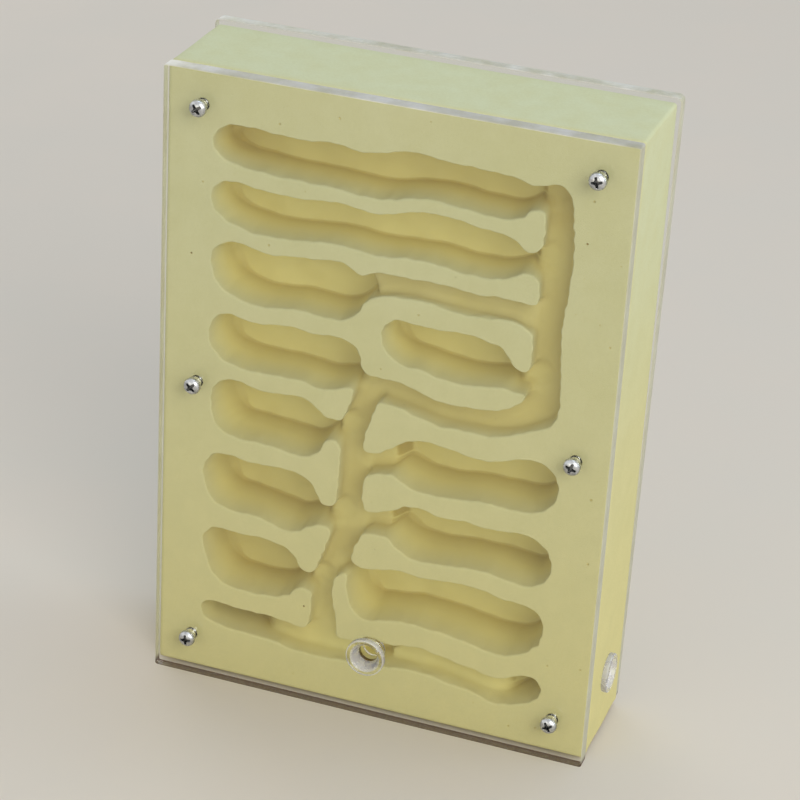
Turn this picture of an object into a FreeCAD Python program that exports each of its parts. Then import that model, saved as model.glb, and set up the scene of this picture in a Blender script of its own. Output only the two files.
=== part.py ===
import FreeCAD, Part
import math
import os

# A plaster ant nest between two clear plates, clamped by six through-bolts.
# Frame: +X to the right of someone facing the nest, -Y out of its front, +Z up.
# The origin is under the middle of the whole object, on the surface it stands on.
# All sizes are in millimetres.

V = FreeCAD.Vector

# --- Plates -------------------------------------------------------------------
cover_width = 150.0
cover_height = 214.0
cover_thickness = 5.0
cover_corner_radius = 0.8
back_thickness = 4.0
back_corner_radius = 2.0
back_top_overhang = 1.5        # above the cover's top edge
back_left_overhang = 1.2       # past the cover's left edge
back_right_overhang = 1.2      # past the cover's right edge, at the top
back_right_lean_deg = 0.5      # this edge is cut slightly out of square, wider at the top

# --- Plaster block ------------------------------------------------------------
block_depth = 37.0
block_side_inset = 0.1         # behind the cover's edge, each side
block_foot_gap = 1.4           # the plates stand on their feet and the block hangs this high
block_edge_radius = 1.2

# --- Nest field on the block's face ---------------------------------------------
field_side_margin = 14.7       # block's side to the nearest chamber
field_top_margin = 15.0
field_foot_margin = 12.4
drawn_half_width = 60.2        # the outlines below are drawn for a field of this half width
drawn_low = 13.8               # and between these two heights above the plates' feet
drawn_high = 199.0

tunnel_depth = 8.0
link_depth = 9.5
row_3_tunnel_depth = 6.0
well_depth = 12.0              # drilled behind the front port
pocket_floor = 1.0             # how far the end pockets run on behind the side passages

# --- Tube bushings, one in the cover and one in each side of the block ------------
bushing_bore_radius = 3.3
bushing_wall = 1.7
bushing_body_length = 7.0
bushing_flange_width = 1.6     # from the body out to the flange's edge
bushing_flange_thickness = 1.8
bushing_rim_width = 1.5        # flat ring round the funnel's mouth, on the flange
bushing_funnel_depth = 3.0
bushing_rim_chamfer = 0.3
bushing_seat_clearance = 0.05
port_level = 22.8              # drawn height of the front and right ports
left_port_level = 23.1         # in the middle of its own end pocket
well_clearance = 0.4           # plaster well round the front bushing's tail
passage_radius = 3.5           # from a side bushing's tail to the end pocket
passage_end_gap = 0.3

# --- Fixings: M3 pan head screws, washers and hexagon nuts ------------------------
screw_side_inset = 11.7        # from the block's sides
screw_end_inset = 12.1         # from the block's top and bottom
screw_radius = 1.5
screw_point_length = 0.5
screw_point_taper = 0.4        # how much the radius falls over the point
screw_tail = 1.1               # thread left showing behind the nut
head_width = 1.3               # from the shank out to the head's edge
head_height = 2.4
head_side_height = 0.9
cross_width = 0.8
cross_span = 3.0
cross_depth = 1.4
plate_hole_clearance = 0.2
block_hole_clearance = 0.5
washer_hole_clearance = 0.1
washer_width = 1.9             # from the hole out to the washer's edge
washer_thickness = 0.5
nut_across_flats = 5.5
nut_height = 2.4
nut_thread_clearance = 0.05
nut_corner_chamfer = 0.35

overcut = 1.0                  # how far a cut runs on past the face it opens
corner_margin = 0.01           # keeps the nut's turned shape clear of its corner edges

# Where each screw stopped turning when it was tightened.
CROSS_TURNS = {
    "top_left": 35.0, "top_right": 12.0,
    "middle_left": 48.0, "middle_right": 70.0,
    "bottom_left": 5.0, "bottom_right": 27.0,
}

# Outlines on the block's face: x from the middle, z above the plates' feet.
# Each is a smooth closed curve through its points, sunk to the depth given first.
CHAMBERS = {
    "row_1": (15.0, [
        (-60.0, 190.5), (-58.8, 194.2), (-55.0, 197.0), (-48.0, 197.3), (-39.0, 196.7),
        (-30.0, 196.3), (-20.0, 197.2), (-11.0, 195.8), (-4.0, 197.0), (5.0, 199.0),
        (14.0, 198.0), (24.0, 197.5), (35.0, 197.2), (40.8, 195.8), (43.6, 191.4),
        (42.4, 186.4), (39.0, 183.1), (32.0, 182.4), (23.0, 183.2), (14.0, 184.2),
        (6.0, 183.8), (-1.0, 182.0), (-8.0, 181.2), (-17.0, 182.0), (-28.0, 182.2),
        (-38.0, 182.5), (-47.0, 183.1), (-54.0, 184.4), (-58.6, 187.0)]),
    "row_2": (15.0, [
        (-60.1, 172.0), (-59.0, 176.2), (-54.5, 178.5), (-46.0, 177.8), (-37.0, 177.2),
        (-27.0, 177.3), (-16.0, 178.1), (-7.0, 176.8), (1.0, 178.3), (10.0, 180.2),
        (21.0, 180.0), (31.0, 178.4), (37.2, 177.8), (41.0, 174.9), (43.2, 170.5),
        (41.3, 166.4), (37.0, 163.5), (30.0, 162.2), (21.0, 162.7), (11.0, 163.9),
        (2.0, 163.2), (-6.0, 162.7), (-16.0, 164.0), (-26.0, 163.2), (-36.0, 162.3),
        (-45.0, 162.2), (-53.5, 164.3), (-58.3, 167.5)]),
    "row_3_left": (16.5, [
        (-59.6, 149.5), (-58.8, 154.8), (-55.0, 157.9), (-48.0, 158.3), (-40.0, 156.4),
        (-32.0, 157.6), (-24.0, 158.2), (-16.0, 158.8), (-11.6, 156.6), (-8.4, 153.0),
        (-7.2, 149.0), (-8.8, 144.3), (-12.2, 140.1), (-19.0, 138.3), (-30.0, 139.3),
        (-40.0, 138.0), (-50.0, 139.0), (-56.5, 142.4)]),
    "row_4_left": (17.0, [
        (-59.8, 124.5), (-59.0, 129.5), (-55.5, 133.6), (-50.0, 133.4), (-45.0, 132.3),
        (-38.0, 133.1), (-31.0, 133.6), (-23.0, 132.7), (-15.0, 133.4), (-10.2, 131.4),
        (-8.2, 127.5), (-8.2, 122.8), (-9.8, 118.8), (-13.4, 115.8), (-20.0, 113.5),
        (-27.0, 114.8), (-35.0, 115.2), (-43.0, 114.8), (-51.0, 115.6), (-57.0, 118.6)]),
    "row_5_left": (18.5, [
        (-58.4, 100.0), (-58.0, 106.0), (-55.0, 110.2), (-50.0, 110.9), (-42.0, 109.3),
        (-35.0, 109.2), (-28.5, 110.3), (-23.2, 108.3), (-19.8, 105.0), (-18.0, 100.8),
        (-18.9, 96.0), (-20.8, 91.2), (-25.2, 88.6), (-33.0, 89.1), (-43.0, 90.0),
        (-51.6, 90.3), (-56.6, 93.9)]),
    "row_6_left": (18.5, [
        (-60.2, 73.5), (-60.0, 79.2), (-56.8, 83.1), (-51.0, 83.7), (-43.0, 82.6),
        (-35.0, 83.3), (-27.5, 82.5), (-22.5, 80.0), (-20.3, 76.0), (-19.2, 71.8),
        (-20.4, 66.8), (-24.4, 62.5), (-31.0, 60.2), (-38.0, 62.2), (-46.0, 63.2),
        (-53.3, 63.7), (-58.2, 67.4)]),
    "row_7_left": (17.0, [
        (-60.2, 50.2), (-59.1, 54.0), (-55.2, 56.2), (-48.0, 55.7), (-41.0, 56.0),
        (-33.5, 55.3), (-28.6, 53.4), (-26.2, 49.5), (-25.0, 45.0), (-26.4, 40.4),
        (-29.6, 36.0), (-36.0, 34.2), (-44.0, 34.0), (-50.8, 34.6), (-55.8, 37.6),
        (-58.6, 43.6)]),
    "row_4_right": (16.0, [
        (-2.3, 136.0), (-1.5, 140.0), (2.2, 143.1), (8.0, 143.1), (16.0, 142.5),
        (25.0, 143.2), (32.5, 142.0), (37.2, 140.9), (40.2, 136.8), (41.8, 131.8),
        (39.6, 127.8), (33.5, 126.4), (25.0, 125.3), (18.0, 125.8), (11.0, 127.4),
        (4.0, 128.0), (-0.6, 131.5)]),
    "chamber_a": (18.0, [
        (3.6, 95.0), (5.4, 100.4), (10.0, 102.8), (17.0, 103.6), (25.0, 102.2),
        (33.0, 101.3), (41.0, 102.7), (49.0, 105.1), (54.6, 104.0), (58.0, 100.2),
        (58.9, 95.5), (57.3, 90.5), (52.8, 86.7), (45.0, 85.5), (35.0, 86.2),
        (26.0, 85.2), (18.0, 84.6), (9.6, 85.7), (4.6, 89.4)]),
    "chamber_b": (18.5, [
        (3.6, 70.8), (5.2, 76.4), (9.8, 79.5), (15.5, 79.3), (21.5, 77.7),
        (29.5, 78.5), (38.0, 77.6), (46.5, 78.6), (53.2, 77.4), (57.5, 73.4),
        (58.9, 68.5), (57.4, 63.5), (52.8, 60.1), (46.0, 60.0), (38.0, 61.3),
        (28.0, 61.1), (17.5, 59.9), (9.0, 61.3), (4.8, 65.2)]),
    "chamber_c": (18.5, [
        (-9.2, 43.5), (-8.6, 49.0), (-5.0, 52.6), (0.5, 54.0), (6.5, 55.3),
        (14.0, 54.7), (22.0, 54.9), (31.0, 55.8), (40.0, 54.4), (47.5, 53.3),
        (53.6, 52.7), (57.2, 48.6), (57.7, 42.8), (54.6, 37.2), (48.5, 33.3),
        (42.0, 32.3), (33.0, 34.2), (23.0, 35.4), (12.0, 36.2), (4.0, 35.1),
        (-3.0, 33.8), (-7.6, 37.4)]),
}

# The runs that carry the ants between the chambers.
TUNNELS = {
    "side_run": (tunnel_depth, [
        (50.4, 197.3), (54.0, 195.4), (55.8, 191.0), (56.2, 184.5), (57.1, 178.0),
        (56.9, 170.0), (56.4, 161.0), (55.4, 152.0), (55.8, 142.0), (56.5, 132.0),
        (56.7, 123.5), (54.8, 117.6), (49.0, 114.6), (43.0, 111.7), (36.5, 109.7),
        (28.0, 109.7), (19.0, 109.3), (11.0, 111.1), (4.0, 113.0), (-2.5, 114.2),
        (-6.8, 117.5), (-5.0, 121.7), (1.0, 122.4), (8.0, 121.4), (14.0, 119.3),
        (20.0, 118.2), (28.0, 118.5), (36.0, 119.1), (42.0, 121.8), (45.8, 126.0),
        (46.6, 134.0), (46.4, 143.0), (46.9, 152.0), (47.2, 161.0), (46.9, 170.0),
        (47.3, 180.0), (47.4, 189.5), (47.8, 194.6)]),
    "row_3_tunnel": (row_3_tunnel_depth, [
        (-12.0, 152.4), (-9.8, 155.0), (-5.6, 157.3), (0.0, 157.9), (7.0, 157.8),
        (14.0, 158.1), (20.5, 157.7), (27.5, 156.7), (34.5, 157.3), (41.5, 157.2),
        (48.0, 156.0), (51.0, 151.6), (48.0, 147.4), (42.5, 149.0), (35.0, 149.6),
        (27.0, 148.8), (19.0, 149.4), (11.0, 150.7), (4.0, 150.1), (-3.0, 149.3),
        (-9.0, 148.0)]),
    "main_run": (tunnel_depth, [
        (-5.6, 119.4), (-2.2, 116.0), (-2.4, 111.5), (-4.0, 106.5), (-5.4, 101.0),
        (-6.2, 95.5), (-5.2, 90.0), (-5.1, 84.5), (-5.3, 79.0), (-4.7, 73.5),
        (-4.3, 68.5), (-5.8, 63.0), (-7.7, 58.0), (-8.8, 53.5), (-11.6, 49.6),
        (-13.7, 45.5), (-14.1, 41.0), (-13.0, 35.5), (-11.8, 30.5), (-12.0, 25.5),
        (-13.4, 21.6), (-17.2, 20.4), (-20.8, 22.6), (-21.7, 28.0), (-21.3, 34.0),
        (-20.9, 40.0), (-20.5, 46.0), (-19.2, 52.0), (-17.2, 57.5), (-15.8, 63.0),
        (-14.8, 69.0), (-14.2, 76.0), (-13.9, 83.0), (-13.6, 90.0), (-13.9, 97.0),
        (-13.6, 103.0), (-12.2, 108.0), (-10.7, 113.0), (-8.9, 117.4)]),
    "bottom_gallery": (tunnel_depth, [
        (-60.2, 23.8), (-58.7, 27.8), (-53.0, 27.9), (-46.5, 27.5), (-40.0, 27.3),
        (-33.0, 27.1), (-26.5, 25.9), (-19.5, 26.0), (-12.0, 25.3), (-5.0, 25.5),
        (2.0, 26.4), (8.5, 27.3), (15.0, 28.7), (23.0, 27.5), (31.0, 26.2),
        (39.0, 24.5), (45.5, 24.3), (50.4, 26.6), (54.5, 27.9), (58.2, 25.6),
        (59.0, 21.8), (56.2, 18.0), (50.0, 15.4), (43.5, 13.8), (36.5, 15.8),
        (28.0, 17.2), (20.0, 18.5), (12.0, 18.6), (4.0, 17.5), (-5.0, 16.7),
        (-14.0, 16.0), (-22.0, 15.7), (-29.0, 16.4), (-36.0, 17.7), (-44.0, 17.9),
        (-51.0, 18.5), (-57.4, 20.0)]),
}

# Short links between a run and a chamber's end.
LINKS = {
    "link_1": [(38.5, 191.0), (40.2, 194.1), (43.2, 195.0), (47.0, 195.9), (50.6, 194.6),
               (52.0, 191.0), (50.0, 188.1), (46.5, 187.6), (43.0, 187.3), (40.0, 187.6)],
    "link_2": [(38.6, 170.4), (41.0, 173.6), (44.4, 173.6), (48.5, 175.2), (51.6, 170.8),
               (49.2, 165.6), (45.8, 165.9), (42.4, 166.7), (39.6, 167.4)],
    "link_4_right": [(38.0, 130.8), (40.8, 134.2), (44.5, 134.1), (49.0, 135.2),
                     (51.6, 131.4), (49.2, 128.4), (45.4, 126.8), (42.0, 126.2),
                     (39.0, 127.4)],
    "link_4_left": [(-13.0, 120.4), (-10.6, 123.4), (-7.6, 123.3), (-4.6, 121.2),
                    (-3.8, 118.6), (-6.0, 116.3), (-9.4, 115.9), (-12.0, 117.3)],
    "link_5": [(-21.4, 100.8), (-19.4, 104.2), (-15.4, 104.5), (-11.2, 104.2), (-9.0, 100.2),
               (-12.0, 97.0), (-16.4, 96.8), (-20.2, 97.4)],
    "link_6": [(-22.4, 69.6), (-20.4, 72.7), (-16.8, 73.0), (-12.0, 73.0), (-9.6, 69.2),
               (-12.0, 65.8), (-17.2, 65.1), (-21.4, 65.4)],
    "link_7": [(-28.2, 44.4), (-26.0, 47.2), (-23.2, 47.0), (-19.4, 47.2), (-16.8, 44.8),
               (-18.0, 41.4), (-22.4, 40.5), (-26.8, 41.0)],
    "link_a": [(-8.6, 92.0), (-6.6, 95.0), (-2.4, 95.2), (1.2, 97.2), (4.6, 99.0),
               (8.0, 96.4), (7.4, 90.6), (3.4, 88.9), (-0.4, 87.9), (-4.4, 87.2),
               (-7.8, 88.6)],
    "link_b": [(-8.2, 71.0), (-6.0, 74.3), (-1.4, 74.3), (2.2, 75.8), (5.8, 75.8),
               (8.6, 71.4), (6.2, 67.0), (1.2, 66.4), (-3.4, 66.0), (-7.4, 67.2)],
    "link_c": [(-13.6, 52.8), (-10.4, 54.6), (-6.6, 53.6), (-3.2, 51.6), (-4.4, 48.6),
               (-8.4, 49.6), (-12.2, 50.2)],
}

# Deep ends of the bottom gallery, where the side passages come in.
POCKETS = {
    "pocket_left": [(-58.9, 24.0), (-57.4, 27.0), (-52.0, 27.1), (-45.5, 26.8), (-41.6, 25.6),
                    (-40.6, 22.8), (-42.8, 19.9), (-48.5, 19.1), (-54.0, 19.7), (-57.8, 21.4)],
    "pocket_right": [(48.6, 21.4), (50.8, 25.4), (54.3, 27.1), (57.2, 25.0), (58.2, 22.0),
                     (55.8, 18.7), (52.0, 17.2), (49.4, 18.4)],
}

# The well behind the front port: degrees round the port, and how much wider it is there
# than round the bushing's tail. It is widest on the right, where it meets the gallery.
WELL = [(7, 2.7), (18, 3.5), (30, 3.3), (42, 1.1), (60, 0.0)]
WELL += [(degrees, 0.0) for degrees in range(75, 346, 15)]

# --- Worked out from the sizes above ----------------------------------------------
washer_and_nut = washer_thickness + nut_height
stack = cover_thickness + block_depth + back_thickness
screw_length = stack + washer_and_nut + screw_tail
front_reach = max(head_height, bushing_flange_thickness)
cover_front = (front_reach - stack - washer_and_nut - screw_tail) / 2
block_front = cover_front + cover_thickness
back_front = block_front + block_depth
back_rear = back_front + back_thickness
block_half_width = cover_width / 2 - block_side_inset
block_top = cover_height
block_height = block_top - block_foot_gap
stretch_x = (block_half_width - field_side_margin) / drawn_half_width
field_low = block_foot_gap + field_foot_margin
field_high = block_top - field_top_margin
stretch_z = (field_high - field_low) / (drawn_high - drawn_low)
side_port_y = block_front + block_depth / 2
pocket_depth = block_depth / 2 + passage_radius + pocket_floor
bushing_body_radius = bushing_bore_radius + bushing_wall
bushing_flange_radius = bushing_body_radius + bushing_flange_width
bushing_mouth_radius = bushing_flange_radius - bushing_rim_width
bushing_seat_radius = bushing_body_radius + bushing_seat_clearance
well_radius = bushing_body_radius + well_clearance
head_radius = screw_radius + head_width
screw_point_radius = screw_radius - screw_point_taper
plate_hole_radius = screw_radius + plate_hole_clearance
block_hole_radius = screw_radius + block_hole_clearance
washer_hole_radius = screw_radius + washer_hole_clearance
washer_radius = washer_hole_radius + washer_width
nut_thread_radius = screw_radius + nut_thread_clearance


def face_point(x, z):
    """A drawn point of the nest field, placed on the block's face."""
    return x * stretch_x, field_low + (z - drawn_low) * stretch_z


port_z = face_point(0.0, port_level)[1]
left_port_z = face_point(0.0, left_port_level)[1]


def screw_places():
    """Name, x and z of each of the six fixings."""
    side = block_half_width - screw_side_inset
    low = block_foot_gap + screw_end_inset
    high = block_top - screw_end_inset
    columns = (("left", -side), ("right", side))
    rows = (("top", high), ("middle", (low + high) / 2), ("bottom", low))
    return [(f"{row}_{column}", x, z) for row, z in rows for column, x in columns]


def round_bar(radius, start, length, direction):
    return Part.makeCylinder(radius, length, start, direction)


def slab(corners, front, thickness, corner_radius):
    """A plate with the given corners in x and z, standing from y = front, corners rounded."""
    ring = [V(x, front, z) for x, z in corners]
    solid = Part.Face(Part.makePolygon(ring + ring[:1])).extrude(V(0, thickness, 0))
    upright = [e for e in solid.Edges if e.BoundBox.YLength > thickness / 2]
    return solid.makeFillet(corner_radius, upright)


def cut_screw_holes(solid, front, thickness, radius):
    holes = [round_bar(radius, V(x, front - overcut, z), thickness + 2 * overcut, V(0, 1, 0))
             for _, x, z in screw_places()]
    return solid.cut(holes)


def front_cover():
    half = cover_width / 2
    corners = [(-half, 0), (half, 0), (half, cover_height), (-half, cover_height)]
    plate = slab(corners, cover_front, cover_thickness, cover_corner_radius)
    plate = cut_screw_holes(plate, cover_front, cover_thickness, plate_hole_radius)
    port = round_bar(bushing_seat_radius, V(0, cover_front - overcut, port_z),
                     cover_thickness + 2 * overcut, V(0, 1, 0))
    return plate.cut(port)


def back_plate():
    half = cover_width / 2
    top = cover_height + back_top_overhang
    left = -half - back_left_overhang
    right_top = half + back_right_overhang
    right_foot = right_top - top * math.tan(math.radians(back_right_lean_deg))
    corners = [(left, 0), (right_foot, 0), (right_top, top), (left, top)]
    plate = slab(corners, back_front, back_thickness, back_corner_radius)
    return cut_screw_holes(plate, back_front, back_thickness, plate_hole_radius)


def sunk_outline(points, depth):
    """A smooth closed outline on the block's face, cut straight in to the given depth."""
    ring = [V(x, block_front - overcut, z) for x, z in points]
    curve = Part.BSplineCurve()
    curve.interpolate(Points=ring, PeriodicFlag=True)
    return Part.Face(Part.Wire(curve.toShape())).extrude(V(0, depth + overcut, 0))


def front_well():
    ring = []
    for degrees, wider in WELL:
        angle = math.radians(degrees)
        reach = well_radius + wider
        ring.append((reach * math.cos(angle), port_z + reach * math.sin(angle)))
    return sunk_outline(ring, well_depth)


def nest_hollows():
    drawn = list(CHAMBERS.values()) + list(TUNNELS.values())
    drawn += [(link_depth, points) for points in LINKS.values()]
    drawn += [(pocket_depth, points) for points in POCKETS.values()]
    hollows = [sunk_outline([face_point(*p) for p in points], depth) for depth, points in drawn]
    return hollows + [front_well()]


def side_passage(side):
    """Bushing seat and ant passage from one side face into the gallery's end pocket."""
    face = side * block_half_width
    pocket = POCKETS["pocket_left"] if side < 0 else POCKETS["pocket_right"]
    height = left_port_z if side < 0 else port_z
    pocket_x = [face_point(*p)[0] for p in pocket]
    pocket_middle = (min(pocket_x) + max(pocket_x)) / 2
    inward = V(-side, 0, 0)
    outside = face + side * overcut
    start = V(outside, side_port_y, height)
    seat = round_bar(bushing_seat_radius, start,
                     bushing_body_length + passage_end_gap + overcut, inward)
    passage = round_bar(passage_radius, start, abs(outside - pocket_middle), inward)
    return seat.fuse(passage)


def nest_block():
    """The cast plaster block, with every hollow open at its front face."""
    block = Part.makeBox(2 * block_half_width, block_depth, block_height,
                         V(-block_half_width, block_front, block_foot_gap))
    block = block.makeFillet(block_edge_radius, block.Edges)
    for hollow in nest_hollows() + [side_passage(-1), side_passage(1)]:
        block = block.cut(hollow)
    return cut_screw_holes(block, block_front, block_depth, block_hole_radius)


def turned(profile):
    """A solid of revolution about Z from (radius, height) points."""
    ring = [V(r, 0, t) for r, t in profile]
    face = Part.Face(Part.makePolygon(ring + ring[:1]))
    return face.revolve(V(0, 0, 0), V(0, 0, 1), 360)


def bushing():
    """A tube bushing on Z: seat plane at 0, flange above it, body below."""
    top = bushing_flange_thickness
    rim = bushing_rim_chamfer
    return turned([
        (bushing_bore_radius, -bushing_body_length),
        (bushing_body_radius, -bushing_body_length),
        (bushing_body_radius, 0),
        (bushing_flange_radius, 0),
        (bushing_flange_radius, top - rim),
        (bushing_flange_radius - rim, top),
        (bushing_mouth_radius, top),
        (bushing_bore_radius, top - bushing_funnel_depth),
    ])


def pointed(solid, place, outward):
    """Moves a piece built on Z so that its Z axis points outward from place."""
    solid = solid.copy()
    turn = FreeCAD.Rotation(V(0, 0, 1), outward)
    solid.Placement = FreeCAD.Placement(place, turn)
    return solid


def cross_recess():
    wing = V(-cross_span / 2, -cross_width / 2, head_height - cross_depth)
    bar = Part.makeBox(cross_span, cross_width, cross_depth + overcut, wing)
    other = bar.copy()
    other.rotate(V(0, 0, 0), V(0, 0, 1), 90)
    return bar.fuse(other)


def screw(turn_deg):
    """A pan head screw on Z: the head's underside at 0, the shank below."""
    edge = V(head_radius, 0, head_side_height)
    crown = V(0, 0, head_height)
    shoulder = V(head_radius * math.cos(math.pi / 4), 0,
                 head_side_height + (head_height - head_side_height) * math.sin(math.pi / 4))
    outline = [
        Part.Arc(crown, shoulder, edge).toShape(),
        Part.makePolygon([
            edge, V(head_radius, 0, 0), V(screw_radius, 0, 0),
            V(screw_radius, 0, screw_point_length - screw_length),
            V(screw_point_radius, 0, -screw_length), V(0, 0, -screw_length), crown]),
    ]
    body = Part.Face(Part.Wire([e for part in outline for e in part.Edges]))
    body = body.revolve(V(0, 0, 0), V(0, 0, 1), 360)
    body = body.cut(cross_recess())
    body.rotate(V(0, 0, 0), V(0, 0, 1), turn_deg)
    return body


def washer():
    ring = Part.makeCylinder(washer_radius, washer_thickness)
    return ring.cut(Part.makeCylinder(washer_hole_radius, washer_thickness))


def nut():
    """A hexagon nut on Z with its corners turned off at both faces."""
    corner = nut_across_flats / math.sqrt(3)
    ring = [V(corner * math.cos(math.radians(60 * k)), corner * math.sin(math.radians(60 * k)), 0)
            for k in range(6)]
    hexagon = Part.Face(Part.makePolygon(ring + ring[:1])).extrude(V(0, 0, nut_height))
    low = nut_corner_chamfer
    high = nut_height - nut_corner_chamfer
    face_radius = nut_across_flats / 2
    edge = corner + corner_margin
    crown = turned([(0, 0), (face_radius, 0), (edge, low), (edge, high),
                    (face_radius, nut_height), (0, nut_height)])
    thread = Part.makeCylinder(nut_thread_radius, nut_height)
    return hexagon.common(crown).cut(thread)


def all_pieces():
    pieces = {
        "nest_block": nest_block(),
        "front_cover": front_cover(),
        "back_plate": back_plate(),
        "front_bushing": pointed(bushing(), V(0, cover_front, port_z), V(0, -1, 0)),
        "right_bushing": pointed(bushing(), V(block_half_width, side_port_y, port_z), V(1, 0, 0)),
        "left_bushing": pointed(bushing(), V(-block_half_width, side_port_y, left_port_z),
                                V(-1, 0, 0)),
    }
    rear = V(0, 1, 0)
    for name, x, z in screw_places():
        head_seat = V(x, cover_front, z)
        pieces[f"screw_{name}"] = pointed(screw(CROSS_TURNS[name]), head_seat, V(0, -1, 0))
        pieces[f"washer_{name}"] = pointed(washer(), V(x, back_rear, z), rear)
        pieces[f"nut_{name}"] = pointed(nut(), V(x, back_rear + washer_thickness, z), rear)
    return pieces


os.makedirs("parts", exist_ok=True)
for name, shape in all_pieces().items():
    shape.exportStep(f"parts/{name}.step")
    print(name, shape.isValid(), len(shape.Solids), round(shape.Volume, 1))
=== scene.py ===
import math

import bmesh
import bpy
import numpy as np
from bpy.props import FloatProperty, FloatVectorProperty, IntProperty, PointerProperty
from mathutils import Matrix, Vector
from mathutils.bvhtree import BVHTree
from mathutils.geometry import delaunay_2d_cdt


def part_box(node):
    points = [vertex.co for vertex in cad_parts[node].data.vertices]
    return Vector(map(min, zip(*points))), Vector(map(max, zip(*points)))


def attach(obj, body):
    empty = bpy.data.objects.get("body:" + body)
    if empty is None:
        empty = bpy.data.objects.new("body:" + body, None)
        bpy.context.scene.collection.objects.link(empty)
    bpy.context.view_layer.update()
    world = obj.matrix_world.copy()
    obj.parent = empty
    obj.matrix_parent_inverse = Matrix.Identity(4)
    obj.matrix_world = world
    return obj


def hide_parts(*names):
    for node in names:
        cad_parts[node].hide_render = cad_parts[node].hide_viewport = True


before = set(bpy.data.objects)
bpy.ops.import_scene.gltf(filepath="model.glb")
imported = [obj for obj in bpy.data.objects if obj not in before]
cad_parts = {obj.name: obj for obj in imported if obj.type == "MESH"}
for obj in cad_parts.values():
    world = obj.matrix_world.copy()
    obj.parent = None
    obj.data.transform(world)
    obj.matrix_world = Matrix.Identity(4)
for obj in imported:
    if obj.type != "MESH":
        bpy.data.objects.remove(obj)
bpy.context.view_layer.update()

bl_info = {
    "name": "Ant nest",
    "version": (1, 0, 0),
    "blender": (4, 5, 0),
    "location": "3D View > Sidebar > Ant nest",
    "description": "A cast plaster ant nest between two clear sheets, with its ports and fixings",
    "category": "Add Mesh",
}

MM = 0.001
CLEAN = (0.0, 0.0)             # marks of a surface with no dirt, no painted shade and no hollow
JOIN = 0.0005                  # points closer than this become one
ROUND = 96                     # sides of a turned piece
# How far each screw's cross is turned, in degrees, by the screw's place.
CROSS_TURNS = {"top_left": 35.0, "top_right": 12.0, "middle_left": 48.0, "middle_right": 70.0,
               "bottom_left": 5.0, "bottom_right": 27.0}


# --- The frame's own sizes and shapes, in millimetres ---

def span(node):
    """A node's lowest and highest corners at rest."""
    low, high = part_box(node)
    return np.array(low) / MM, np.array(high) / MM


def middle(node):
    """The middle of a node's box at rest."""
    return sum(span(node)) / 2


def frame_mesh(node):
    """A node's points and triangles, with its loose triangles joined at their corners."""
    work = bmesh.new()
    work.from_mesh(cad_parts[node].data)
    bmesh.ops.remove_doubles(work, verts=work.verts, dist=2 * JOIN * MM)
    bmesh.ops.triangulate(work, faces=work.faces)
    work.verts.index_update()
    points = np.array([vert.co for vert in work.verts]) / MM
    triangles = np.array([[vert.index for vert in face.verts] for face in work.faces])
    work.free()
    return points, triangles


def face_loops(points, triangles, level):
    """Border loops, as x and z, of the flat face at y = level that looks out of the front:
    edges that no other triangle of the face runs back along. The face is on their left, so
    holes run clockwise. The outer loop comes first, then the holes, the longest first."""
    flat = np.all(np.abs(points[triangles][:, :, 1] - level) < 0.002, axis=1)
    edges = set(map(tuple, triangles[flat][:, [0, 1, 1, 2, 2, 0]].reshape(-1, 2).tolist()))
    following = {a: b for a, b in edges if (b, a) not in edges}
    loops = []
    while following:
        start, step = following.popitem()
        loop = [start]
        while step != start:
            loop.append(step)
            step = following.pop(step)
        loops.append(points[loop][:, [0, 2]])
    return sorted(loops, key=lambda loop: -np.ptp(loop, axis=0).sum())


# --- Loops in the plane of the front face ---

def unit(vectors):
    """The vectors, each made one long."""
    return vectors / np.maximum(np.linalg.norm(vectors, axis=-1, keepdims=True), 1e-12)


def smooth_round(values, width):
    """The bell-curve mean of each value and its neighbours round a closed loop, width in steps."""
    waves = np.fft.rfftfreq(len(values))
    keep = np.exp(-2 * (np.pi * width * waves) ** 2)
    spectrum = np.fft.rfft(values, axis=0)
    return np.fft.irfft(spectrum * keep.reshape([-1] + [1] * (values.ndim - 1)),
                        len(values), axis=0)


def closed(line):
    """The line with its first point again at the end."""
    return np.vstack([line, line[:1]])


def walked(line):
    """How far along a line each of its points lies."""
    return np.concatenate([[0], np.cumsum(np.linalg.norm(np.diff(line, axis=0), axis=1))])


def even(loop, pitch, soften):
    """A closed loop measured off in equal steps of about the pitch, its corners softened."""
    line = closed(loop)
    along = walked(line)
    count = max(int(round(along[-1] / pitch)), 16)
    at = np.arange(count) * along[-1] / count
    ring = np.column_stack([np.interp(at, along, line[:, k]) for k in (0, 1)])
    return smooth_round(ring, soften * count / along[-1])


def to_right(vectors):
    """Vectors in the plane, each turned a quarter to its right."""
    return np.column_stack([vectors[:, 1], -vectors[:, 0]])


def right_normals(loop):
    """Unit vectors square to a loop, on its right: into the hollow, or out of a sheet."""
    return to_right(unit(np.roll(loop, -1, axis=0) - np.roll(loop, 1, axis=0)))


def shifted(loop, distance):
    """A closed loop moved to its right by a distance, with its corners kept."""
    ahead = to_right(unit(np.roll(loop, -1, axis=0) - loop))
    behind = np.roll(ahead, 1, axis=0)
    share = 1 + (ahead * behind).sum(1, keepdims=True)
    return loop + distance * (ahead + behind) / share


def turns(sides):
    """Even angles round a full turn."""
    return np.linspace(0, 2 * np.pi, sides, endpoint=False)


def circle(centre, radius, sides):
    """Points round a circle, clockwise, as a hole's border runs."""
    turn = -turns(sides)
    return np.array(centre) + radius * np.column_stack([np.cos(turn), np.sin(turn)])


def round_holes(loops, sides):
    """Each hole's border as a true circle with this many sides, from the middle of its box."""
    return [circle((loop.min(0) + loop.max(0)) / 2, np.ptp(loop, axis=0).mean() / 2, sides)
            for loop in loops]


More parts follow.
